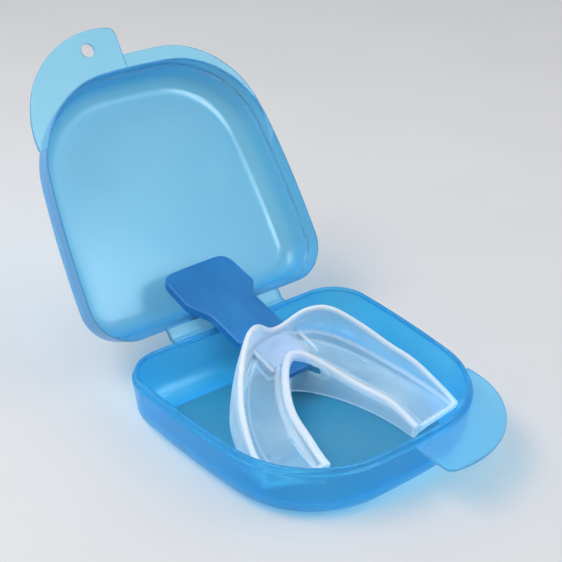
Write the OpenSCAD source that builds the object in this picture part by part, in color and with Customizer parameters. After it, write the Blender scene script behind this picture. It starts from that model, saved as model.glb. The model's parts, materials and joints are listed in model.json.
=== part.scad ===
// Boil-and-bite mouthguard in its open snap case, with the fitting handle
// still plugged into the front of the tray.
// Millimetres. +Z is up, -Y is the front of the case, the hinge is at +Y.

/* [Case] */
// width of the case across the rim
case_w = 78; // [74:0.5:84]
// depth of the case from hinge edge to front edge
case_d = 73.7; // [72:0.1:78]
// height of the tray half from the ground to the rim
base_h = 14.5; // [13.5:0.5:18]
// height of the cover half
lid_h = 14; // [13:0.5:18]
// radius of the two rim corners beside the hinge
back_r = 11.9; // [10:0.1:13]
// radius of the two broad rim corners at the front
front_r = 27.9; // [26:0.1:29]
// radius between the walls and the flat of either half
edge_r = 7; // [6:0.5:8]
// wall thickness
wall = 1.3; // [1:0.1:1.5]

/* [Rim] */
// height of the inner lip above the rim
lip_h = 1.6; // [1:0.1:2.2]
// distance of the lip outer face from the rim edge
lip_in = 1; // [0.9:0.05:1.1]
// thickness of the lip
lip_t = 1.2; // [1:0.1:1.4]
// depth of the cover skirt that goes over the lip
skirt_h = 4.4; // [3:0.1:5]
// thickness of the cover skirt
skirt_t = 0.85; // [0.7:0.05:0.85]

/* [Tabs] */
// thickness of the two finger tabs and the front flange
tab_t = 1; // [0.8:0.1:1.4]
// radius of the round outer edge of each tab
tab_r = 27.6; // [27:0.1:28.5]
// how far the tabs reach past the front edge
tab_out = 12; // [10:0.5:13]
// radius of the hang hole in the cover tab
hang_r = 2; // [1.5:0.1:2.5]

/* [Hinge] */
// distance of the fold line behind the back edge
fold_d = 3; // [2.5:0.1:4]
// width of the hinge strap
strap_w = 39; // [30:1:42]
// thickness of the hinge strap
strap_t = 0.6; // [0.5:0.1:0.8]
// radius of the round fold bead
bead_r = 0.4; // [0.35:0.05:0.5]
// angle the cover stands open at rest
open_deg = 123.4; // [115:0.1:130]

/* [Mouth tray] */
// half width of the tray at its open end
arch_w = 30.4; // [29:0.2:31]
// length of the tray from front to open end
arch_l = 43; // [41:0.5:44]
// width of the bite channel arm
arm_w = 16.6; // [15:0.2:17]
// thickness of the soft walls
guard_t = 1.6; // [1.4:0.1:2]
// thickness of the bite plate
plate_t = 2.2; // [2:0.1:3]
// height of the outer wall top above the rim, beside the front notch
upper_h = 10.5; // [9:0.1:11]
// depth of the notch at the front
notch_h = 6.4; // [4:0.2:6.6]
// height of the lip along the inner edge of the bite plate
lip_up = 1.5; // [0.8:0.1:2]
// turn of the tray in the case
tray_yaw = -4.3; // [-5:0.1:-3.5]

/* [Fitting handle] */
// thickness of the handle blade
blade_t = 2.8; // [2.4:0.1:3]
// width of the neck
neck_w = 16.3; // [15:0.1:17]
// width of the paddle end
paddle_w = 23.8; // [22:0.1:25]
// width of the tongue inside the tray
tongue_w = 11; // [9:0.1:11]
// thickness of the tongue
tongue_t = 2.2; // [2:0.1:2.3]
// slope of the handle
handle_tilt = 16.1; // [15:0.1:17]
// turn of the handle in the case
handle_yaw = 2.9; // [2:0.1:4]

/* [Hidden] */
blue = [0.16, 0.58, 0.90, 0.55];
pale = [0.55, 0.82, 0.95, 0.55];
milky = [0.86, 0.92, 0.97, 0.75];
deep = [0.12, 0.45, 0.75];
half_w = case_w / 2;
back_x = half_w - back_r;
front_x = half_w - front_r;
back_y = -back_r;
front_y = front_r - case_d;
mid_y = case_d / 2;
axis_y = fold_d;
lip_o = lip_in + lip_t;
eps = 0.01;
gap = 0.05;
step_x = 0.4;
tab_x = 8.2;
tab_y = -case_d - tab_out + tab_r;
tab_round = 2.6;
lid_step_x = 2.8;
lid_tab_x = 9.5;
flange_x = 8;
flange_out = 3.6;
hang_x = -12.8;
hang_y = -80.4;
tray_x = 3.8;
tray_y = -11.8;
floor_z = wall + 0.15 - base_h;
stations = 26;
box_x = 2.4;
box_w = 15.8;
box_l = 11;
box_t = 5.4;
box_low = -6.6;
tongue_x = 2.6;
tongue_low = -4.8;
tongue_in = 4;
blade_x = -0.77;
blade_z = 7;
neck_v = -14.2;
waist_v = -1;
paddle_v = 5;
end_v = 18.1;
tip_v = -28.2;
corner_r = 4.5;

// one wall-edge profile: straight side with a rounded foot, r wide, h tall
module foot_2d(r, h, f) {
  translate([0, f]) square([r, h - f]);
  square([r - f, h]);
  translate([r - f, f]) intersection() {
    circle(r = f, $fn = 48);
    translate([0, -f]) square([f, f]);
  }
}

// round corner of the case with a rounded foot
module puck(x, y, r, h, f) {
  translate([x, y, 0]) rotate_extrude($fn = 72) foot_2d(r, h, f);
}

// whole case-half block, drawn inward by o, foot at z = 0
module block(o, h, f) {
  hull() for (s = [-1, 1]) {
    puck(s * back_x, back_y, back_r - o, h, f);
    puck(s * front_x, front_y, front_r - o, h, f);
  }
}

// flat outline of the case drawn inward by o
module outline(o) {
  for (s = [-1, 1]) {
    translate([s * back_x, back_y]) circle(r = back_r - o, $fn = 96);
    translate([s * front_x, front_y]) circle(r = front_r - o, $fn = 96);
  }
  polygon([[-half_w + o, back_y], [-half_w + o, front_y],
    [-front_x, front_y], [-front_x, -case_d + o], [front_x, -case_d + o],
    [front_x, front_y], [half_w - o, front_y], [half_w - o, back_y],
    [back_x, back_y], [back_x, -o], [-back_x, -o], [-back_x, back_y]]);
}

module ring(o1, o2, h) {
  linear_extrude(height = h) difference() {
    outline(o1);
    outline(o2);
  }
}

// flat finger tab: part of a disc, cut square at its step
module tab_2d(cx, sx) {
  difference() {
    intersection() {
      translate([cx, tab_y]) circle(r = tab_r, $fn = 128);
      translate([sx, -case_d - 2 * tab_out]) square([2 * case_w, case_d]);
    }
    outline(wall / 2);
    translate([sx, -case_d - tab_out - 1])
      square([tab_round, tab_round]);
  }
  translate([sx + tab_round, -case_d - tab_out + tab_round + step_x])
    circle(r = tab_round, $fn = 64);
}

module case_base() {
  color(blue) translate([0, mid_y, 0]) {
    difference() {
      block(0, base_h, edge_r);
      translate([0, 0, wall]) block(wall, base_h, edge_r - wall);
    }
    translate([0, 0, base_h - wall]) ring(wall / 2, lip_o, wall);
    translate([0, 0, base_h - eps]) ring(lip_in, lip_o, lip_h + eps);
    translate([0, 0, base_h - tab_t]) linear_extrude(height = tab_t)
      tab_2d(tab_x, step_x);
  }
}

module hinge_film() {
  color(pale) translate([-strap_w / 2, mid_y, base_h]) {
    translate([0, 0, -strap_t - gap])
      cube([strap_w, axis_y, strap_t]);
    translate([0, axis_y, 0]) rotate([0, 90, 0])
      cylinder(r = bead_r, h = strap_w, $fn = 48);
  }
}

// cover in its closed place: rim at z = 0, hinge edge at y = 0
module lid_closed() {
  difference() {
    translate([0, 0, lid_h]) mirror([0, 0, 1]) block(0, lid_h, edge_r);
    translate([0, 0, lid_h - wall]) mirror([0, 0, 1])
      block(wall, lid_h, edge_r - wall);
    translate([0, 0, -eps]) linear_extrude(height = skirt_h + eps)
      outline(skirt_t);
  }
  linear_extrude(height = tab_t) mirror([1, 0, 0])
    difference() {
      tab_2d(lid_tab_x, lid_step_x);
      translate([-hang_x, hang_y]) circle(r = hang_r, $fn = 64);
    }
  linear_extrude(height = tab_t) difference() {
    intersection() {
      translate([flange_x, front_r - case_d - flange_out])
        circle(r = front_r, $fn = 128);
      translate([-lid_step_x - eps, -case_d - tab_out])
        square([case_w, case_d]);
    }
    outline(skirt_t / 2);
  }
  difference() {
    translate([-strap_w / 2, -skirt_t / 2, gap])
      cube([strap_w, axis_y + skirt_t / 2, strap_t]);
    translate([-strap_w, axis_y, 0]) rotate([0, 90, 0])
      cylinder(r = bead_r + gap, h = 2 * strap_w, $fn = 48);
  }
}

module case_lid() {
  color(blue) translate([0, mid_y + axis_y, base_h])
    rotate([-open_deg, 0, 0]) translate([0, -axis_y, 0]) lid_closed();
}

// the four edge curves of the tray, a from 0 at the front to 90 at the open
// end, each [half width, distance back], then heights from the rim plane
function ease(t) = let (c = min(max(t, 0), 1)) c * c * (3 - 2 * c);
function out_top(a) = [arch_w * pow(sin(a), 1.4), 1.9 + arch_l * (1 - cos(a))];
function out_low(a) = [(arch_w - 1.1) * pow(sin(a), 1.1),
  -2.85 + (arch_l + 2.8) * (1 - cos(a))];
function in_top(a) = [(arch_w - arm_w - 0.6) * pow(sin(a), 1.45),
  12 + (arch_l - 7.3) * (1 - cos(a))];
function in_low(a) = [(arch_w - arm_w + 0.4) * pow(sin(a), 1.45),
  10.8 + (arch_l - 7.6) * (1 - cos(a))];
function spread(k) = 90 * k / stations;
function notch(a) = notch_h * exp(-pow(out_top(a)[0] / 6.4, 2));
function top_z(a) = upper_h - 8.4 * ease((a - 30) / 32)
  - 4.6 * ease((a - 50) / 30) - 6.8 * ease((a - 66) / 34) - notch(a);
function low_z(a) = floor_z + 2.6 * ease((a - 66) / 24);
function lip_z(a) = 0.6 - 5.6 * ease((a - 12) / 50) - 2.9 * ease((a - 70) / 24);
function plate_z(a) = 0.1 - 7.4 * ease((a - 24) / 52) - 1.4 * ease((a - 64) / 26);
function mix(p, q, t) = p + (q - p) * t;
function out_at(a, z) =
  mix(out_low(a), out_top(a), (z - floor_z) / (top_z(a) - floor_z));
function in_at(a, z) =
  mix(in_low(a), in_top(a), (z - floor_z) / (lip_z(a) - floor_z));
function at(s, a, q, z) = let (p = mix(out_at(a, z), in_at(a, z), q))
  [s * p[0], -p[1], z];
function section(s, a) = let (t = guard_t / arm_w, h = plate_t,
  po = plate_z(a), pi = lip_z(a) - lip_up) [
  at(s, a, 0, top_z(a)), at(s, a, t, top_z(a)), at(s, a, 1.5 * t, po),
  at(s, a, 1 - 2 * t, pi), at(s, a, 1 - t, lip_z(a)),
  at(s, a, 1, lip_z(a)), at(s, a, 1, floor_z),
  at(s, a, 1 - 0.8 * t, floor_z), at(s, a, 1 - 1.2 * t, pi - h),
  at(s, a, 1.5 * t, po - h), at(s, a, t, low_z(a)), at(s, a, 0, low_z(a))];

// U-shaped double channel, left end to right end
module channel() {
  rows = [for (k = [stations : -1 : 1]) section(-1, spread(k)),
    for (k = [0 : stations]) section(1, spread(k))];
  m = len(rows[0]);
  n = len(rows);
  polyhedron(points = [for (r = rows) each r], faces = concat(
    [for (i = [0 : n - 2], j = [0 : m - 1])
      [i * m + j, (i + 1) * m + (j + 1) % m, i * m + (j + 1) % m]],
    [for (i = [0 : n - 2], j = [0 : m - 1])
      [i * m + j, (i + 1) * m + j, (i + 1) * m + (j + 1) % m]],
    [[for (j = [0 : m - 1]) j]],
    [[for (j = [m - 1 : -1 : 0]) (n - 1) * m + j]]), convexity = 10);
}

module place_handle() {
  translate([blade_x, mid_y, base_h + blade_z])
    rotate([0, 0, handle_yaw]) rotate([handle_tilt, 0, 0]) children();
}

// tongue of the handle, grown by g on every side for the socket
module tongue(g) {
  translate([tongue_x - tongue_w / 2 - g, tip_v - g, tongue_low - g])
    cube([tongue_w + 2 * g, neck_v - tip_v + tongue_in + g, tongue_t + 2 * g]);
}

module mouth_tray() {
  color(milky) difference() {
    union() {
      translate([tray_x, mid_y + tray_y, base_h])
        rotate([0, 0, tray_yaw]) channel();
      place_handle() translate([box_x - box_w / 2, neck_v - box_l, box_low])
        cube([box_w, box_l, box_t]);
    }
    place_handle() tongue(gap);
    place_handle() translate([-paddle_w / 2, neck_v - gap, -2 * blade_t])
      cube([paddle_w, arch_l, 3 * blade_t]);
    place_handle() translate([tongue_x - tongue_w / 2 - gap, tip_v - box_l,
      tongue_low - gap]) cube([tongue_w + 2 * gap, box_l, tongue_t + 2 * gap]);
  }
}

module fitting_handle() {
  color(deep) place_handle() {
    translate([0, 0, -blade_t]) linear_extrude(height = blade_t) {
      translate([-neck_w / 2, neck_v])
        square([neck_w, paddle_v - neck_v]);
      polygon([[-neck_w / 2, waist_v], [neck_w / 2, waist_v],
        [paddle_w / 2, paddle_v], [-paddle_w / 2, paddle_v]]);
      translate([-paddle_w / 2, paddle_v - eps])
        square([paddle_w, end_v - corner_r - paddle_v + eps]);
      translate([-paddle_w / 2 + corner_r, end_v - 2 * corner_r])
        square([paddle_w - 2 * corner_r, 2 * corner_r]);
      for (s = [-1, 1])
        translate([s * (paddle_w / 2 - corner_r), end_v - corner_r])
          circle(r = corner_r, $fn = 64);
    }
    tongue(0);
  }
}

case_base();
hinge_film();
case_lid();
mouth_tray();
fitting_handle();
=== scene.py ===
import json
import math

import bpy
from mathutils import Matrix, Vector


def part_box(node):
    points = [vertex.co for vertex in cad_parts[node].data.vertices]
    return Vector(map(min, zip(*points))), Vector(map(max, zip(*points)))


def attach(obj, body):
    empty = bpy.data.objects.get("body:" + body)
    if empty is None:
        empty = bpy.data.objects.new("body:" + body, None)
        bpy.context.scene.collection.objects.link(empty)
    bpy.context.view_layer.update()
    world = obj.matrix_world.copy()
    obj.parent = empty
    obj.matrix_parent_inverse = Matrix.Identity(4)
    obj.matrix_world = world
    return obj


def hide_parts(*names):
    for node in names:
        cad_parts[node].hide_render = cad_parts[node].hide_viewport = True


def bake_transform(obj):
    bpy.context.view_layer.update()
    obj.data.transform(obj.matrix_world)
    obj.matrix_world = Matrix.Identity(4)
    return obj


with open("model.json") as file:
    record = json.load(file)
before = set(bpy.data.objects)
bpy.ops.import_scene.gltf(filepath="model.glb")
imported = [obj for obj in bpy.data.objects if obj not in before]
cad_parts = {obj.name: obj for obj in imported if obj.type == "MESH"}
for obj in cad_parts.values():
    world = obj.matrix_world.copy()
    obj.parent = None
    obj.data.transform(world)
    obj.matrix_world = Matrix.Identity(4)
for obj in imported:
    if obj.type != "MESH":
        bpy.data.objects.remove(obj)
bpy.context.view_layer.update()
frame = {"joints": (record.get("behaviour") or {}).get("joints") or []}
MM = 0.001

# ---------------------------------------------------------------- places, in mm, from the CAD frame
base_lo, base_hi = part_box("case_base")
film_lo, film_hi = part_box("hinge_film")
hinge = [j for j in frame["joints"] if j["name"] == "lid_hinge"][0]
pull = [j for j in frame["joints"] if j["name"] == "handle_pull"][0]
AX_Y, RIM = hinge["pos_m"][1] / MM, hinge["pos_m"][2] / MM
WIDTH = (base_hi.x - base_lo.x) / MM
BACK = base_hi.y / MM                    # hinge edge of the tray half
FOLD = AX_Y - BACK
STRAP = (film_hi.x - film_lo.x) / MM
OPEN = math.radians(123.4)
LID_H = 14.0
K = WIDTH / 78.0


def lid_to_row(p):
    """Cover's closed place (rim at z = 0, hinge edge at y = 0) to its open rest place."""
    y, z = p[1] - FOLD, p[2]
    c, s = math.cos(-OPEN), math.sin(-OPEN)
    return (p[0], AX_Y + y * c - z * s, RIM + y * s + z * c)


def base_to_row(p):
    return (p[0], BACK + p[1], p[2])


# ---------------------------------------------------------------- mesh helpers
def mesh_object(name, verts, faces, smooth=True):
    me = bpy.data.meshes.new(name)
    me.from_pydata([(x * MM, y * MM, z * MM) for x, y, z in verts], [], faces)
    me.validate()
    me.update()
    ob = bpy.data.objects.new(name, me)
    bpy.context.scene.collection.objects.link(ob)
    for p in me.polygons:
        p.use_smooth = smooth
    return ob


def apply_modifiers(ob):
    dg = bpy.context.evaluated_depsgraph_get()
    me = bpy.data.meshes.new_from_object(ob.evaluated_get(dg))
    ob.modifiers.clear()
    ob.data = me
    return ob


def face_out(ob):
    import bmesh
    bm = bmesh.new()
    bm.from_mesh(ob.data)
    bmesh.ops.remove_doubles(bm, verts=bm.verts, dist=1e-6)
    bmesh.ops.recalc_face_normals(bm, faces=bm.faces)
    bm.to_mesh(ob.data)
    bm.free()
    return ob


def join(name, parts):
    import bmesh
    bm = bmesh.new()
    for p in parts:
        bm.from_mesh(p.data)
    me = bpy.data.meshes.new(name)
    bm.to_mesh(me)
    bm.free()
    for p in parts:
        bpy.data.objects.remove(p)
    ob = bpy.data.objects.new(name, me)
    bpy.context.scene.collection.objects.link(ob)
    for p in me.polygons:
        p.use_smooth = True
    return ob


# ---------------------------------------------------------------- rim outline of the case
def rim_outline(n_arc=20):
    """Half outline from the middle of the hinge edge, clockwise: flat back, tight corner,
    barely bowed side, broad front corner, almost flat front. Points and inward normals."""
    out = []
    h, pos = 0.0, [0.0, 0.0]

    def add(p, a):
        out.append((p[0] * K, p[1] * K, -math.sin(a), -math.cos(a), a))

    def straight(length, steps):
        x0, y0 = pos
        for k in range(1, steps + 1):
            t = length * k / steps
            add((x0 + t * math.cos(h), y0 + t * math.sin(h)), -h)
        pos[0], pos[1] = x0 + length * math.cos(h), y0 + length * math.sin(h)

    def arc(radius, turn, steps):
        nonlocal h
        cx, cy = pos[0] + radius * math.sin(h), pos[1] - radius * math.cos(h)
        for k in range(1, steps + 1):
            a = h - turn * k / steps
            add((cx - radius * math.sin(a), cy + radius * math.cos(a)), -a)
        h -= turn
        pos[0], pos[1] = cx - radius * math.sin(h), cy + radius * math.cos(h)

    add((0, 0), 0)
    straight(27.1, 8)
    arc(11.9, math.pi / 2, n_arc)
    arc(37.0 / 0.122, 0.122, 10)
    arc(27.9, math.pi / 2 - 0.122 - 0.05, n_arc + 6)
    arc(pos[0] / math.sin(0.05), 0.05, 5)
    return out


HALF = rim_outline()


def ring_points(o):
    """Closed outline, drawn inward by o mm, clockwise seen from above."""
    pts = []
    for x, y, nx, ny, a in HALF:
        pts.append((x - math.sin(a) * o, y - math.cos(a) * o))
    right = pts
    left = [(-x, y) for x, y in reversed(pts[1:-1])]
    return right + left


def loft(name, profile, place):
    """Closed solid: the profile (inward offset, height) carried round the rim outline.
    First and last profile points close on flat caps."""
    rings = [ring_points(o) for o, z in profile]
    n = len(rings[0])
    verts = []
    for (o, z), r in zip(profile, rings):
        verts += [place((x, y, z)) for x, y in r]
    faces = []
    for i in range(len(profile) - 1):
        for j in range(n):
            k = (j + 1) % n
            faces.append((i * n + j, i * n + k, (i + 1) * n + k, (i + 1) * n + j))
    faces.append(tuple(range(n - 1, -1, -1)))
    faces.append(tuple((len(profile) - 1) * n + j for j in range(n)))
    return face_out(mesh_object(name, verts, faces))


def fillet(o0, z0, r, a0, a1, steps, sz=1):
    """Arc points in the (offset, height) plane about (o0, z0)."""
    out = []
    for k in range(steps + 1):
        a = math.radians(a0 + (a1 - a0) * k / steps)
        out.append((o0 + r * math.cos(a), z0 + sz * r * math.sin(a)))
    return out


# profile of the tray half: foot, wall, ledge, lip, inner wall, floor
H = RIM
DR = 0.8                                   # draft of the outer wall at the foot
base_profile = (
    [(11.0, 0.0)]
    + fillet(DR + 6.6, 6.6, 6.6, -90, -180, 14)
    + [(0.45, 10.2), (0.18, 12.6)]
    + [(0.02, 13.3), (0.0, 14.1), (0.05, 14.38), (0.2, H)]
    + [(0.5, H), (0.62, H + 0.06), (0.68, H + 0.25), (0.7, H + 1.15)]
    + fillet(0.98, H + 1.25, 0.28, 180, 90, 4) + fillet(1.3, H + 1.25, 0.28, 90, 0, 4)
    + [(1.62, H), (1.7, H - 1.6), (1.9, H - 4.0)]
    + fillet(DR + 1.4 + 5.4, 6.8, 5.4, 180, 270, 14)
    + [(10.5, 1.4)]
)
# the same for the cover, drawn closed: top outside, skirt, step, inner wall, inner top
cover_profile = (
    [(11.0, LID_H)]
    + fillet(DR + 6.6, LID_H - 6.6, 6.6, 90, 180, 14)
    + [(0.5, 4.6), (0.2, 1.6), (0.0, 0.5), (0.04, 0.16), (0.18, 0.02)]
    + [(0.32, 0.02), (0.42, 0.14), (0.46, 0.4), (0.52, 3.9), (0.75, 4.25)]
    + [(1.45, 4.4), (1.66, 4.55), (1.76, 4.9), (1.9, 6.0)]
    + fillet(DR + 1.4 + 5.2, LID_H - 6.6, 5.2, 180, 90, 14)
    + [(10.5, LID_H - 1.4)]
)


base_shell = loft("case_base_shell", base_profile, base_to_row)
cover_shell = loft("case_cover_shell", cover_profile, lid_to_row)


# ---------------------------------------------------------------- flat plates: tabs, flange, handle
def plate(name, loops, thick, bevel, z_mid, place, res=3):
    """Solid plate with rounded edges from one outer loop and any holes, in mm."""
    cu = bpy.data.curves.new(name, "CURVE")
    cu.dimensions = "2D"
    cu.fill_mode = "BOTH"
    cu.extrude = thick / 2 - bevel
    cu.bevel_depth = bevel
    cu.bevel_resolution = res
    cu.offset = -bevel
    for pts in loops:
        sp = cu.splines.new("POLY")
        sp.points.add(len(pts) - 1)
        for p, (x, y) in zip(sp.points, pts):
            p.co = (x, y, 0, 1)
        sp.use_cyclic_u = True
    co = bpy.data.objects.new(name, cu)
    bpy.context.scene.collection.objects.link(co)
    dg = bpy.context.evaluated_depsgraph_get()
    dg.update()
    me = bpy.data.meshes.new_from_object(co.evaluated_get(dg))
    bpy.data.objects.remove(co)
    for v in me.vertices:
        x, y, z = place((v.co.x, v.co.y, v.co.z + z_mid))
        v.co = (x * MM, y * MM, z * MM)
    ob = bpy.data.objects.new(name, me)
    bpy.context.scene.collection.objects.link(ob)
    import bmesh
    bm = bmesh.new()
    bm.from_mesh(me)
    bmesh.ops.remove_doubles(bm, verts=bm.verts, dist=2e-6)
    bmesh.ops.dissolve_degenerate(bm, edges=bm.edges, dist=1e-7)
    bmesh.ops.recalc_face_normals(bm, faces=bm.faces)
    bm.to_mesh(me)
    bm.free()
    for p in me.polygons:
        p.use_smooth = False
    return ob


def arc_pts(cx, cy, r, a0, a1, n):
    return [(cx + r * math.cos(math.radians(a0 + (a1 - a0) * k / n)),
             cy + r * math.sin(math.radians(a0 + (a1 - a0) * k / n))) for k in range(n + 1)]


def finger_tab(cx, step, sign, top=None):
    """Tab outline on the right side: out from the step, round the disc, back along the rim."""
    r, cy = 27.5, -58.5
    front = cy - math.sqrt(r * r - (step + 3.2 - cx) ** 2)
    corner = arc_pts(step + 2.4, front + 2.6, 2.4, 180, 262, 8)
    outer = arc_pts(cx, cy, r, -math.degrees(math.acos((step + 3.6 - cx) / r)), 4, 44)
    rim = [(x, y) for x, y in ring_points(0.55)[: len(HALF)] if y < -56.2 and x > step + 0.5]
    pts = [(step, rim[-1][1] + 0.0)] + corner + outer + rim
    return [(sign * x, y) for x, y in pts]


base_tab = plate("base_tab", [finger_tab(8.0, 0.4, 1)], 1.0, 0.22, RIM - 0.62, base_to_row)
hole = arc_pts(-12.8, -80.4, 2.0, 0, 360, 40)[:-1]
cover_tab = plate("cover_tab", [finger_tab(9.3, 2.8, -1), hole], 1.0, 0.22, 0.52, lid_to_row)


def crescent():
    """Narrow flange on the other half of the cover's front edge, fading into the side."""
    r = 27.9
    cx, cy = 8.2, -77.3 + r
    outer = [(-2.9, -77.25)] + [(2.0, -77.3)] + arc_pts(cx, cy, r, -90, 14, 40)
    rim = [(x, y) for x, y in ring_points(0.5)[: len(HALF)] if y < -42]
    rim += [(-2.9, rim[-1][1])]
    return outer + rim


cover_flange = plate("cover_flange", [crescent()], 0.9, 0.2, 0.5, lid_to_row)


# ---------------------------------------------------------------- hinge strap
def strap_mesh():
    rows = []
    n = 40
    for i in range(n + 1):
        t = i / n
        # path in closed-cover terms: from the tray half's edge to the fold, then up the cover's edge
        if t < 0.5:
            u = t / 0.5
            y, z = BACK - 0.5 + (FOLD + 0.5) * u, RIM - 0.42 * (1 - u) - 0.02
        else:
            u = (t - 0.5) / 0.5
            p = lid_to_row((0, -FOLD - 0.0 + FOLD + FOLD * (1 - u) - 0.5 * u, 0.42 * u + 0.02))
            y, z = p[1], p[2]
        rows.append((y, z, abs(t - 0.5)))
    sm = [list(r) for r in rows]
    for _ in range(3):                     # ease the fold
        for i in range(1, n):
            for c in (0, 1):
                sm[i][c] = 0.25 * rows[i - 1][c] + 0.5 * rows[i][c] + 0.25 * rows[i + 1][c]
        rows = [tuple(r) for r in sm]
    verts, faces = [], []
    xs = [-STRAP / 2 + STRAP * k / 26 for k in range(27)]
    m = len(xs)
    for side in (1, -1):
        for i, (y, z, d) in enumerate(rows):
            a = rows[max(i - 1, 0)]
            b = rows[min(i + 1, n)]
            ty, tz = b[0] - a[0], b[1] - a[1]
            length = math.hypot(ty, tz) or 1
            ny, nz = -tz / length, ty / length
            half = 0.27 - 0.15 * math.exp(-(d / 0.045) ** 2)
            for k, x in enumerate(xs):
                edge = 0.5 if k in (0, m - 1) else 1.0
                verts.append((x, y + side * ny * half * edge, z + side * nz * half * edge))
    q = (n + 1) * m
    for i in range(n):
        for k in range(m - 1):
            a = i * m + k
            faces.append((a, a + 1, a + m + 1, a + m))
            faces.append((q + a, q + a + m, q + a + m + 1, q + a + 1))
        for k in (0, m - 1):
            a = i * m + k
            faces.append((a, a + m, q + a + m, q + a))
    for i in (0, n):
        for k in range(m - 1):
            a = i * m + k
            faces.append((a, a + 1, q + a + 1, q + a))
    return face_out(mesh_object("hinge_strap", verts, faces))


strap = strap_mesh()


# ---------------------------------------------------------------- handle
def place_handle(p):
    tilt, yaw = math.asin(pull["axis"][2]), math.atan2(-pull["axis"][0], pull["axis"][1])
    x, y, z = p
    y, z = y * math.cos(tilt) - z * math.sin(tilt), y * math.sin(tilt) + z * math.cos(tilt)
    x, y = x * math.cos(yaw) - y * math.sin(yaw), x * math.sin(yaw) + y * math.cos(yaw)
    return (x - 0.77, y + BACK, z + RIM + 7.0)


def smooth_path(corners, radii, n=10):
    """Polygon with rounded corners."""
    pts = []
    m = len(corners)
    for i in range(m):
        p, c, q = Vector(corners[i - 1]), Vector(corners[i]), Vector(corners[(i + 1) % m])
        a, b = (p - c).normalized(), (q - c).normalized()
        ang = a.angle(b)
        d = min(radii[i] / math.tan(ang / 2), (p - c).length * 0.49, (q - c).length * 0.49)
        s, e = c + a * d, c + b * d
        for k in range(n + 1):
            t = k / n
            pts.append(tuple((1 - t) ** 2 * s + 2 * t * (1 - t) * c + t * t * e))
    return pts


blade_outline = smooth_path(
    [(-8.15, -14.1), (8.15, -14.1), (8.2, 0.4), (11.9, 4.6), (11.5, 18.1), (-11.5, 18.1), (-11.9, 4.6), (-8.3, -1.6)],
    [0.5, 0.5, 2.2, 2.6, 4.6, 4.6, 5.5, 7.0])
blade = plate("handle_blade", [blade_outline], 2.8, 0.55, -1.4, place_handle, res=4)
tongue_outline = smooth_path([(-2.9, -10.2), (-2.9, -27.3), (-2.0, -28.2), (7.2, -28.2), (8.1, -27.3), (8.1, -10.2)],
                             [0.1, 1.0, 1.0, 1.0, 1.0, 0.1])
tongue = plate("handle_tongue", [tongue_outline], 2.2, 0.35, -3.7, place_handle)


# ---------------------------------------------------------------- mouth tray
WALL = 1.5
TRAY_YAW = math.radians(-4.3)
LOW_Z = 1.6 - RIM                          # tray's low edge, just above the case floor


def place_tray(p):
    x, y, z = p
    x, y = x * math.cos(TRAY_YAW) - y * math.sin(TRAY_YAW), x * math.sin(TRAY_YAW) + y * math.cos(TRAY_YAW)
    return (x + 3.8, y + BACK - 11.8, z + RIM)


def ease(t):
    t = min(max(t, 0.0), 1.0)
    return t * t * (3 - 2 * t)


def swing(deg, half_w, power, d0, length):
    a = math.radians(deg)
    return (half_w * math.sin(a) ** power, d0 + length * (1 - math.cos(a)))


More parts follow.
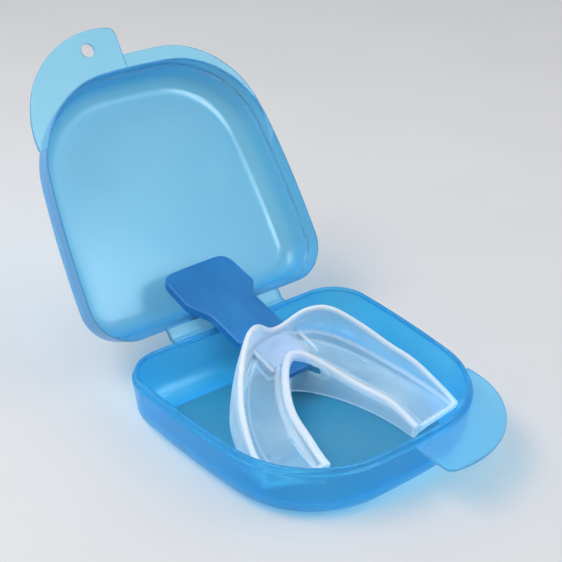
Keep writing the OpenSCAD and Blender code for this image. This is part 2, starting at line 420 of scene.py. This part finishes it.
def tray_section(deg):
    """Closed section at arch angle deg (0 front, 90 open end): list of (x, d, z) in tray terms.
    Outer wall leans in upward; a bite plate joins it to the lip and skirt along the inner edge."""
    xt, dt = swing(deg, 30.4, 1.4, 1.9, 43.2)                 # top of the outer wall
    xl, dl = swing(deg, 29.3, 1.1, -2.85, 46.0)               # its low edge
    xi, di = swing(deg, 13.2, 1.45, 12.0, 35.9)               # lip along the inner edge
    xs, ds = swing(deg, 14.2, 1.45, 10.8, 35.6)               # low edge of the inner skirt
    top = (10.5 - 8.4 * ease((deg - 30) / 32) - 4.6 * ease((deg - 50) / 30) - 6.8 * ease((deg - 66) / 34)
           - 6.4 * math.exp(-(xt / 6.4) ** 2))
    low = LOW_Z + 2.6 * ease((deg - 66) / 24)                 # outer low edge, lifted at the open end
    lip = 0.6 - 5.6 * ease((deg - 12) / 50) - 2.9 * ease((deg - 70) / 24)
    po = 0.1 - 7.4 * ease((deg - 24) / 52) - 1.4 * ease((deg - 64) / 26)
    pi = lip - 1.5
    thick = 2.3 - 0.5 * ease((deg - 60) / 30)

    def mix(u, v, t):
        return u + (v - u) * t

    def at(q, z):
        """q mm inward from the outer face, or -q mm back from the inner one, at height z."""
        t = (z - LOW_Z) / (top - LOW_Z)
        bow = 0.7 * math.sin(math.pi * min(max(t, 0), 1))
        ox, od = mix(xl, xt, t) + bow * math.sin(math.radians(deg)), mix(dl, dt, t) - bow * math.cos(math.radians(deg))
        s = (z - LOW_Z) / (lip - LOW_Z)
        ix, id_ = mix(xs, xi, s), mix(ds, di, s)
        width = math.hypot(ix - ox, id_ - od)
        f = q / width if q >= 0 else 1 + q / width
        return (mix(ox, ix, f), mix(od, id_, f), z)

    w = WALL
    inner = -1e-6
    pts = [at(0, low + 0.6)] + [at(0, mix(low, top, t)) for t in (0.22, 0.42, 0.62, 0.82)]
    pts += [at(0, top - 0.7), at(0.15, top - 0.2), at(w * 0.5, top), at(w - 0.1, top - 0.2), at(w + 0.1, top - 0.8)]
    rise = max(top - 0.8 - po, 0.3)
    pts += [at(w * 1.05, po + rise * 0.78), at(w * 1.0, po + rise * 0.55), at(w * 1.05, po + rise * 0.34),
            at(w * 1.5, po + rise * 0.12), at(w * 2.1, po), at(w * 3.0, mix(po, pi, 0.2)), at(6.0, mix(po, pi, 0.45)),
            at(-5.0, mix(po, pi, 0.75)), at(-3.4, pi), at(-2.5, pi + 0.3), at(-2.0, lip - 0.45),
            at(-1.4, lip - 0.05), at(-0.8, lip), at(-0.2, lip - 0.2), at(inner, lip - 0.7)]
    foot = LOW_Z
    under = pi - thick - foot
    pts += [at(inner, mix(foot, lip, t)) for t in (0.7, 0.45, 0.2)]
    pts += [at(inner, foot + 0.3), at(-0.25, foot), at(-0.7, foot), at(-0.95, foot + 0.3), at(-1.0, foot + under * 0.4),
            at(-1.2, foot + under * 0.75), at(-2.0, pi - thick - 0.2), at(-3.6, pi - thick), at(6.0, mix(po, pi, 0.45) - thick)]
    under = po - thick - low
    pts += [at(w * 2.4, po - thick), at(w * 1.5, po - thick - 0.3), at(w * 1.05, low + under * 0.6),
            at(w * 0.9, low + under * 0.3), at(w * 0.85, low + 0.3), at(w * 0.6, low), at(0.25, low)]
    return pts


def tray_arch():
    steps = 40
    angles = [90 * (k / steps) ** 1.15 for k in range(steps + 1)]
    rows = [(-1, a) for a in reversed(angles[1:])] + [(1, a) for a in angles]
    verts = []
    for s, a in rows:
        for x, d, z in tray_section(a):
            verts.append(place_tray((s * x, -d, z)))
    m = len(tray_section(0))
    n = len(rows)
    faces = []
    for i in range(n - 1):
        for j in range(m):
            k = (j + 1) % m
            faces.append((i * m + j, i * m + k, (i + 1) * m + k, (i + 1) * m + j))
    faces.append(tuple(range(m - 1, -1, -1)))
    faces.append(tuple((n - 1) * m + j for j in range(m)))
    return face_out(mesh_object("mouth_tray_soft", verts, faces))


def handle_box(name, u, v, w):
    """Box between limits in handle terms: u across, v along, w through the blade."""
    verts = [place_handle((x, y, z)) for x in u for y in v for z in w]
    faces = [(0, 1, 3, 2), (4, 6, 7, 5), (0, 4, 5, 1), (2, 3, 7, 6), (0, 2, 6, 4), (1, 5, 7, 3)]
    return face_out(mesh_object(name, verts, faces, smooth=False))


def combine(ob, other, how):
    mod = ob.modifiers.new(how, "BOOLEAN")
    mod.operation = how
    mod.solver = "EXACT"
    mod.object = other
    apply_modifiers(ob)
    bpy.data.objects.remove(other)
    return ob


def soft_tray():
    """Arch with the raised air-channel box, the channel itself and the handle's socket,
    remeshed finely and eased so every edge has the small radius of a soft moulding."""
    ob = tray_arch()
    mid = 2.4
    combine(ob, handle_box("channel_box", (mid - 7.9, mid + 7.9), (-25.2, -14.6), (-6.6, -1.2)), "UNION")
    combine(ob, handle_box("channel_rib_left", (mid - 8.5, mid - 7.6), (-26.3, -16.5), (-3.0, -0.75)), "UNION")
    combine(ob, handle_box("channel_rib_right", (mid + 7.6, mid + 8.5), (-25.4, -16.5), (-3.0, -0.75)), "UNION")
    combine(ob, handle_box("channel", (mid - 5.6, mid + 5.85), (-40, -14.0), (-5.1, -2.3)), "DIFFERENCE")
    combine(ob, handle_box("socket", (-8.4, 8.4), (-14.2, -6), (-3.05, 0.25)), "DIFFERENCE")
    rm = ob.modifiers.new("remesh", "REMESH")
    rm.mode = "VOXEL"
    rm.voxel_size = 0.32 * MM
    rm.use_smooth_shade = True
    sm = ob.modifiers.new("ease", "SMOOTH")
    sm.factor = 0.5
    sm.iterations = 4
    apply_modifiers(ob)
    for p in ob.data.polygons:
        p.use_smooth = True
    mark_milk_and_highlight_edges(ob)
    return ob


def mark_milk_and_highlight_edges(ob):
    """Weight 1 on the rims and folds, where the soft plastic is seen through its thickness; the whitening this weight
    drives is partly that milky thickness and partly a painted highlight.
    """
    from mathutils.kdtree import KDTree
    section = tray_section(45)
    top_i = max(range(15), key=lambda i: section[i][2])
    lip_i = max(range(18, 30), key=lambda i: section[i][2])
    foot_i = min(range(lip_i, len(section) - 8), key=lambda i: section[i][2])
    edges = [(top_i, 1.5, 1.0), (lip_i, 2.0, 1.0), (foot_i, 0.7, 1.0), (13, 0.7, 0.65), (15, 0.5, 0.45), (18, 0.8, 0.65)]
    marks = []
    for i, reach, weight in edges:
        for s in (-1, 1):
            for k in range(181):
                x, d, z = tray_section(k / 2)[i]
                marks.append((place_tray((s * x, -d, z)), reach, weight))
    for s in (-1, 1):
        last = tray_section(90)
        for i, (x, d, z) in enumerate(last):
            a, b = Vector(place_tray((s * x, -d, z))), Vector(place_tray((s * last[i - 1][0], -last[i - 1][1], last[i - 1][2])))
            for t in (0.0, 0.25, 0.5, 0.75):
                marks.append((tuple(a.lerp(b, t)), 1.4, 1.0))
    for k in range(63):
        marks.append((place_handle((-3.4 + 1.4 * (k % 9), -15.5 - 1.4 * (k // 9), -1.2)), 1.9, 0.55))
    for u in (-5.7, 10.4):
        for k in range(40):
            marks.append((place_handle((u, -17.0 - 0.23 * k, -0.9)), 0.7, 0.8))
    tree = KDTree(len(marks))
    for i, (p, reach, weight) in enumerate(marks):
        tree.insert(Vector(p) * MM, i)
    tree.balance()
    layer = ob.data.attributes.new("milk_and_highlight_edge", "FLOAT", "POINT")
    values = []
    for v in ob.data.vertices:
        best = 0.0
        for co, i, dist in tree.find_n(v.co, 6):
            p, reach, weight = marks[i]
            best = max(best, weight * ease(1.25 - dist / (reach * 1.4 * MM)))
        values.append(best)
    layer.data.foreach_set("value", values)


tray = soft_tray()


# ---------------------------------------------------------------- materials
class Nodes:
    """Small helper round a material's node tree."""

    def __init__(self, name):
        self.mat = bpy.data.materials.new(name)
        self.mat.use_nodes = True
        self.nt = self.mat.node_tree
        self.nt.nodes.clear()
        self.out = self.nt.nodes.new("ShaderNodeOutputMaterial")
        self.coord = self.nt.nodes.new("ShaderNodeTexCoord")

    def new(self, kind, values=(), links=()):
        n = self.nt.nodes.new(kind)
        for key, v in values:
            n.inputs[key].default_value = v
        for key, socket in links:
            self.nt.links.new(socket, n.inputs[key])
        return n

    def noise(self, scale, detail=3.0, stretch=None):
        vec = self.coord.outputs["Object"]
        if stretch:
            vec = self.new("ShaderNodeMapping", [("Scale", stretch)], [("Vector", vec)]).outputs[0]
        return self.new("ShaderNodeTexNoise", [("Scale", scale), ("Detail", detail)], [("Vector", vec)]).outputs["Fac"]

    def ramp(self, fac, stops):
        n = self.new("ShaderNodeValToRGB", (), [("Fac", fac)])
        r = n.color_ramp
        for k, (pos, col) in enumerate(stops):
            e = r.elements[k] if k < 2 else r.elements.new(pos)
            e.position, e.color = pos, (*col, 1)
        return n.outputs["Color"]

    def remap(self, fac, lo, hi, a=0.35, b=0.65):
        return self.new("ShaderNodeMapRange", [("From Min", a), ("From Max", b), ("To Min", lo), ("To Max", hi)],
                        [("Value", fac)]).outputs[0]

    def mix_colour(self, fac, a, b, how="MIX"):
        n = self.nt.nodes.new("ShaderNodeMix")
        n.data_type, n.blend_type = "RGBA", how
        for key, v in (("Factor", fac), ("A", a), ("B", b)):
            sock = [i for i in n.inputs if i.name == key and i.type == ("VALUE" if key == "Factor" else "RGBA")][0]
            if isinstance(v, (int, float)) or isinstance(v, tuple):
                sock.default_value = v if key == "Factor" else (*v, 1)
            else:
                self.nt.links.new(v, sock)
        return [o for o in n.outputs if o.type == "RGBA"][0]

    def bump(self, height, strength, distance, chain=None):
        links = [("Height", height)] + ([("Normal", chain)] if chain else [])
        return self.new("ShaderNodeBump", [("Strength", strength), ("Distance", distance)], links).outputs[0]

    def facing(self, blend=0.4):
        return self.new("ShaderNodeLayerWeight", [("Blend", blend)]).outputs["Facing"]

    def shadow_tint(self, surface, tint, amount):
        """Let light through for shadows, tinted by the plastic."""
        ray = self.nt.nodes.new("ShaderNodeLightPath").outputs["Is Shadow Ray"]
        fac = self.new("ShaderNodeMath", [(1, amount)], [(0, ray)])
        fac.operation = "MULTIPLY"
        clear = self.new("ShaderNodeBsdfTransparent", [("Color", (*tint, 1))])
        mix = self.new("ShaderNodeMixShader", (), [(0, fac.outputs[0]), (1, surface), (2, clear.outputs[0])])
        self.nt.links.new(mix.outputs[0], self.out.inputs[0])
        return self.mat


def case_plastic(name, face_on, edge_on, clear, tint):
    """Translucent moulded polypropylene: pale face on, saturated edge on, faintly clouded, with fine
    handling marks and a very soft moulded ripple."""
    n = Nodes(name)
    middle = tuple(0.5 * a + 0.5 * b for a, b in zip(face_on, edge_on))
    body = n.ramp(n.facing(0.45), [(0.0, face_on), (1.0, edge_on), (0.42, middle)])
    cloud = n.remap(n.noise(30, 4), 0.0, 0.12)
    colour = n.mix_colour(cloud, body, (0.55, 0.84, 0.97))
    rough = n.remap(n.noise(70, 5, (1.0, 0.3, 1.0)), 0.16, 0.25)
    marks = n.remap(n.noise(240, 6, (0.15, 1.0, 1.0)), 0.0, 0.03, 0.5, 0.8)
    rough = n.new("ShaderNodeMath", (), [(0, rough), (1, marks)]).outputs[0]
    normal = n.bump(n.noise(22, 2), 0.12, 0.0004)
    bs = n.new("ShaderNodeBsdfPrincipled",
               [("IOR", 1.33), ("Transmission Weight", clear), ("Specular IOR Level", 0.6)],
               [("Base Color", colour), ("Roughness", rough), ("Normal", normal)])
    return n.shadow_tint(bs.outputs[0], tint, 0.85)


def tray_eva():
    """Milky clear soft EVA: lets the blue through face on, whitens at rims, folds and where seen edge on; the whitening
    at rims and folds is partly milky thickness and partly a painted highlight.
    """
    n = Nodes("tray_eva")
    milk = n.noise(70, 4)
    # Edge weights: rims, folds and the channel box top are whitened partly for milky thickness and partly as a painted
    # highlight.
    edge = n.new("ShaderNodeAttribute")
    edge.attribute_name = "milk_and_highlight_edge"
    edge = edge.outputs["Fac"]
    colour = n.mix_colour(n.remap(milk, 0.0, 1.0), (0.74, 0.92, 0.99), (0.84, 0.96, 1.0))
    rough = n.remap(n.noise(160, 4), 0.14, 0.24)
    normal = n.bump(n.noise(60, 3), 0.15, 0.0004)
    glassy = n.new("ShaderNodeBsdfPrincipled",
                   [("IOR", 1.17), ("Transmission Weight", 1.0), ("Specular IOR Level", 0.8)],
                   [("Base Color", colour), ("Roughness", rough), ("Normal", normal)])
    skin = n.new("ShaderNodeBsdfPrincipled",
                 [("IOR", 1.45), ("Roughness", 0.28)],
                 [("Base Color", n.mix_colour(edge, (0.72, 0.88, 0.98), (0.97, 0.98, 1.0))), ("Normal", normal)])
    glow = n.new("ShaderNodeBsdfTranslucent", [("Color", (0.92, 0.96, 1.0, 1))], [("Normal", normal)])
    cloudy = n.new("ShaderNodeMixShader", [(0, 0.4)], [(1, skin.outputs[0]), (2, glow.outputs[0])])
    base = n.remap(n.facing(0.5), 0.22, 0.80, 0.20, 0.95)
    wave = n.remap(milk, 0.92, 1.1)
    base = n.new("ShaderNodeMath", (), [(0, base), (1, wave)])
    base.operation = "MULTIPLY"
    fac = n.new("ShaderNodeMath", (), [(0, base.outputs[0]), (1, n.remap(edge, 0.0, 0.92, 0.0, 1.0))])
    fac.operation = "MAXIMUM"
    mix = n.new("ShaderNodeMixShader", (), [(0, fac.outputs[0]), (1, glassy.outputs[0]), (2, cloudy.outputs[0])])
    return n.shadow_tint(mix.outputs[0], (0.88, 0.94, 0.98), 0.8)


def handle_blue():
    """Solid blue with a fine satin tooth, faint marbling and a few light handling scuffs."""
    n = Nodes("handle_blue")
    marbling = n.remap(n.noise(140, 5, (1.0, 0.35, 1.0)), 0.0, 1.0)
    colour = n.mix_colour(marbling, (0.006, 0.150, 0.420), (0.012, 0.190, 0.490))
    scuffs = n.remap(n.noise(900, 6, (0.2, 1.0, 1.0)), 0.0, 0.35, 0.62, 0.78)
    colour = n.mix_colour(scuffs, colour, (0.05, 0.27, 0.58))
    rough = n.remap(n.noise(300, 5), 0.34, 0.48)
    normal = n.bump(n.noise(1800, 2), 0.10, 0.00006)
    normal = n.bump(n.noise(60, 3), 0.08, 0.0003, normal)
    bs = n.new("ShaderNodeBsdfPrincipled", [("IOR", 1.5), ("Specular IOR Level", 0.5)],
               [("Base Color", colour), ("Roughness", rough), ("Normal", normal)])
    n.nt.links.new(bs.outputs[0], n.out.inputs[0])
    return n.mat


# Painted shade: the tub is the same plastic as the cover, given a deeper, more saturated blue because its floor lies in
# shade.
TUB_SHADED = case_plastic("case_plastic_tub_shaded", (0.10, 0.64, 0.92), (0.012, 0.46, 0.93), 0.74, (0.56, 0.84, 0.96))
LID = case_plastic("case_plastic_lid", (0.23, 0.62, 0.80), (0.012, 0.46, 0.93), 0.74, (0.50, 0.70, 0.82))
THIN = case_plastic("case_plastic_thin", (0.38, 0.78, 0.92), (0.025, 0.48, 0.93), 0.80, (0.56, 0.72, 0.80))
EVA, HANDLE = tray_eva(), handle_blue()
for obs, mat in (((base_shell,), TUB_SHADED), ((cover_shell,), LID), ((base_tab, cover_tab, cover_flange, strap), THIN),
                 ((tray,), EVA), ((blade, tongue), HANDLE)):
    for ob in obs:
        ob.data.materials.clear()
        ob.data.materials.append(mat)

# ---------------------------------------------------------------- bodies
for ob in (base_shell, base_tab):
    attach(ob, "case")
for ob in (cover_shell, cover_tab, cover_flange):
    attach(ob, "cover")
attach(tray, "tray")
for ob in (blade, tongue):
    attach(ob, "handle")
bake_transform(strap)
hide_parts("case_base")
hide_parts("case_lid")
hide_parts("hinge_film")
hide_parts("mouth_tray")
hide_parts("fitting_handle")

# ---------------------------------------------------------------- stage
floor = mesh_object("floor", [(x * 9000, y * 9000, 0) for x, y in ((-1, -1), (1, -1), (1, 1), (-1, 1))], [(0, 1, 2, 3)])
fl = Nodes("floor_grey")
away = fl.new("ShaderNodeVectorMath", (), [(0, fl.coord.outputs["Object"])])
away.operation = "LENGTH"
fade = fl.remap(away.outputs["Value"], 0.0, 1.0, 0.25, 1.6)
paper = fl.mix_colour(fl.remap(fl.noise(14, 4), 0.0, 1.0), (0.650, 0.650, 0.662), (0.668, 0.668, 0.680))
grain = fl.bump(fl.noise(900, 3), 0.05, 0.0001)
matt = fl.new("ShaderNodeBsdfDiffuse", (), [("Color", paper), ("Normal", grain)])
haze = fl.new("ShaderNodeEmission", [("Color", (0.95, 0.97, 1.0, 1)), ("Strength", 0.55)])
ground = fl.new("ShaderNodeMixShader", (), [(0, fade), (1, matt.outputs[0]), (2, haze.outputs[0])])
fl.nt.links.new(ground.outputs[0], fl.out.inputs[0])
floor.data.materials.append(fl.mat)

world = bpy.data.worlds.new("studio")
bpy.context.scene.world = world
world.use_nodes = True
world.node_tree.nodes["Background"].inputs[0].default_value = (0.95, 0.97, 1.0, 1)
world.node_tree.nodes["Background"].inputs[1].default_value = 0.55


def area(name, size, power, loc, target=(0, 0, 0.03), colour=(1, 1, 1)):
    li = bpy.data.lights.new(name, "AREA")
    li.shape = "RECTANGLE"
    li.size, li.size_y = size
    li.energy = power
    li.color = colour
    ob = bpy.data.objects.new(name, li)
    bpy.context.scene.collection.objects.link(ob)
    ob.location = loc
    ob.rotation_euler = (Vector(target) - Vector(loc)).to_track_quat("-Z", "Y").to_euler()
    return ob


area("key", (0.6, 0.4), 5.0, (-0.45, 0.15, 0.75))
area("fill", (0.7, 0.7), 2.0, (0.6, -0.5, 0.6))
strip = area("front_strip", (0.44, 0.44), 7.0, (0.16, -0.75, 0.37))
strip.visible_diffuse = False

AZ, EL, DIST = math.radians(-37.97), math.radians(28.8), 0.300
target = Vector((-0.0001, 0.01515, 0.0374))
back = Vector((math.sin(AZ) * math.cos(EL), -math.cos(AZ) * math.cos(EL), math.sin(EL)))
cam = bpy.data.cameras.new("photo_camera")
cam.lens = 73.8
cam.sensor_width = 36
cam.clip_start = 0.01
cam_ob = bpy.data.objects.new("photo_camera", cam)
bpy.context.scene.collection.objects.link(cam_ob)
cam_ob.location = target + back * DIST
cam_ob.rotation_euler = (-back).to_track_quat("-Z", "Y").to_euler()
bpy.context.scene.camera = cam_ob
bpy.context.scene.view_settings.view_transform = "Standard"
